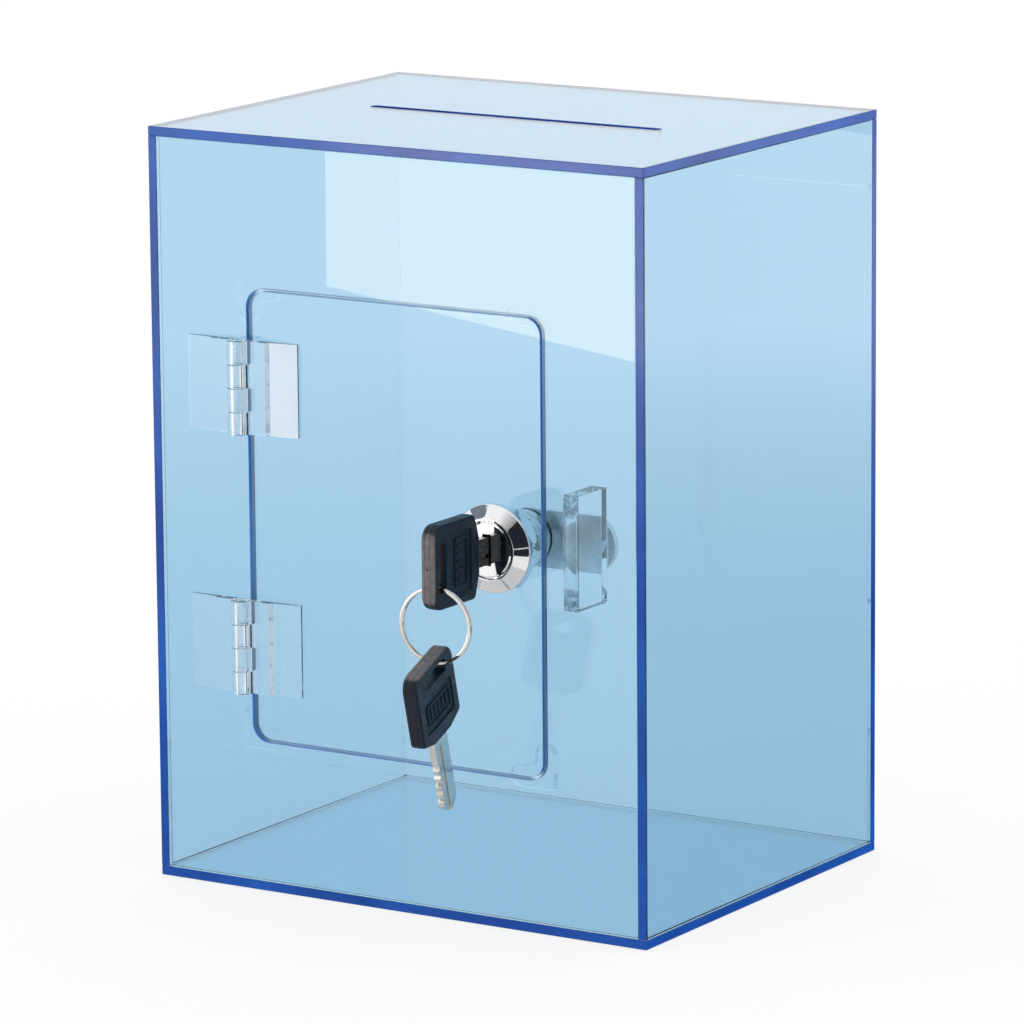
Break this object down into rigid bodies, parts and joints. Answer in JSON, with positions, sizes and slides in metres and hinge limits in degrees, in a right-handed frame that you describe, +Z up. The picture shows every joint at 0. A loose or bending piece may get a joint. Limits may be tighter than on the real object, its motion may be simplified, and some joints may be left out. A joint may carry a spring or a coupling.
{
  "type": "donation box",
  "caption": "Clear blue acrylic donation box with a money slot in the top, a hinged front door, a cam lock with its key in place and a spare key on a split ring.",
  "frame": {"origin": "centre of the underside, on the surface the box stands on", "axes": "+Z up, -Y out of the front with the door, +X to the right seen from the front"},
  "size_m": [0.15, 0.1605, 0.2],
  "materials": {
    "blue_acrylic": "polished clear sheet, tinted blue",
    "clear_acrylic": "polished, clear and colourless",
    "chrome": "bright chrome plate",
    "steel": "zinc-plated steel",
    "brass": "stamped brass",
    "nickel": "nickel plate, lightly worn",
    "black_plastic": "moulded, satin black"
  },
  "bodies": {
    "box": {"bottom_panel": "blue_acrylic", "top_panel": "blue_acrylic", "left_panel": "blue_acrylic", "right_panel": "blue_acrylic", "back_panel": "blue_acrylic", "front_panel": "blue_acrylic", "corner_stop_bottom_left": "clear_acrylic", "corner_stop_bottom_right": "clear_acrylic", "corner_stop_top_left": "clear_acrylic", "corner_stop_top_right": "clear_acrylic", "strike_block": "clear_acrylic", "upper_hinge_frame_leaf": "clear_acrylic", "lower_hinge_frame_leaf": "clear_acrylic", "upper_hinge_pin": "clear_acrylic", "lower_hinge_pin": "clear_acrylic"},
    "door": {"door_panel": "blue_acrylic", "upper_hinge_door_leaf": "clear_acrylic", "lower_hinge_door_leaf": "clear_acrylic", "lock_housing": "chrome", "lock_nut": "chrome"},
    "lock_core": {"lock_plug": "chrome", "lock_cam": "steel", "stop_washer": "steel", "screw_washer": "steel", "cam_screw": "steel", "wafer_spring_1": "steel", "wafer_spring_2": "steel", "wafer_spring_3": "steel", "wafer_spring_4": "steel", "wafer_spring_5": "steel"},
    "key": {"key_head": "black_plastic", "key_blade": "nickel"},
    "ring": {"key_ring": "nickel"},
    "spare_key": {"spare_key_head": "black_plastic", "spare_key_blade": "nickel"},
    "wafer_1": {"wafer_1": "brass"},
    "wafer_2": {"wafer_2": "brass"},
    "wafer_3": {"wafer_3": "brass"},
    "wafer_4": {"wafer_4": "brass"},
    "wafer_5": {"wafer_5": "brass"}
  },
  "joints": [
    {"name": "door_hinge", "type": "hinge", "parent": "box", "child": "door", "pos_m": [-0.0458, -0.0621, 0.1], "axis": [0, 0, -1], "range_deg": [0, 170]},
    {"name": "lock_turn", "type": "hinge", "parent": "door", "child": "lock_core", "pos_m": [0.03, -0.059, 0.0994], "axis": [0, 1, 0], "range_deg": [0, 90]},
    {"name": "key_slide", "type": "slide", "parent": "lock_core", "child": "key", "axis": [0, -1, 0], "range_m": [0, 0.022]},
    {"name": "ring_hang", "type": "hinge", "parent": "key", "child": "ring", "pos_m": [0.0292, -0.08585, 0.0914], "axis": [0, 1, 0], "range_deg": [-90, 0]},
    {"name": "spare_key_swing", "type": "hinge", "parent": "ring", "child": "spare_key", "pos_m": [0.0298, -0.08578, 0.07475], "axis": [0.9925, 0.1219, 0], "range_deg": [-45, 20]},
    {"name": "wafer_1_slide", "type": "slide", "parent": "lock_core", "child": "wafer_1", "axis": [0, 0, 1], "range_m": [0, 0.0005], "deforming": ["wafer_spring_1"]},
    {"name": "wafer_2_slide", "type": "slide", "parent": "lock_core", "child": "wafer_2", "axis": [0, 0, 1], "range_m": [0, 0.0005], "deforming": ["wafer_spring_2"]},
    {"name": "wafer_3_slide", "type": "slide", "parent": "lock_core", "child": "wafer_3", "axis": [0, 0, 1], "range_m": [0, 0.0005], "deforming": ["wafer_spring_3"]},
    {"name": "wafer_4_slide", "type": "slide", "parent": "lock_core", "child": "wafer_4", "axis": [0, 0, 1], "range_m": [0, 0.0005], "deforming": ["wafer_spring_4"]},
    {"name": "wafer_5_slide", "type": "slide", "parent": "lock_core", "child": "wafer_5", "axis": [0, 0, 1], "range_m": [0, 0.0005], "deforming": ["wafer_spring_5"]}
  ],
  "couplings": [
    {"joint": "ring_hang", "follows": "lock_turn", "ratio": -1},
    {"joint": "wafer_1_slide", "follows": "key_slide", "ratio": 0.0225},
    {"joint": "wafer_2_slide", "follows": "key_slide", "ratio": 0.0225},
    {"joint": "wafer_3_slide", "follows": "key_slide", "ratio": 0.0225},
    {"joint": "wafer_4_slide", "follows": "key_slide", "ratio": 0.0225},
    {"joint": "wafer_5_slide", "follows": "key_slide", "ratio": 0.0225}
  ]
}
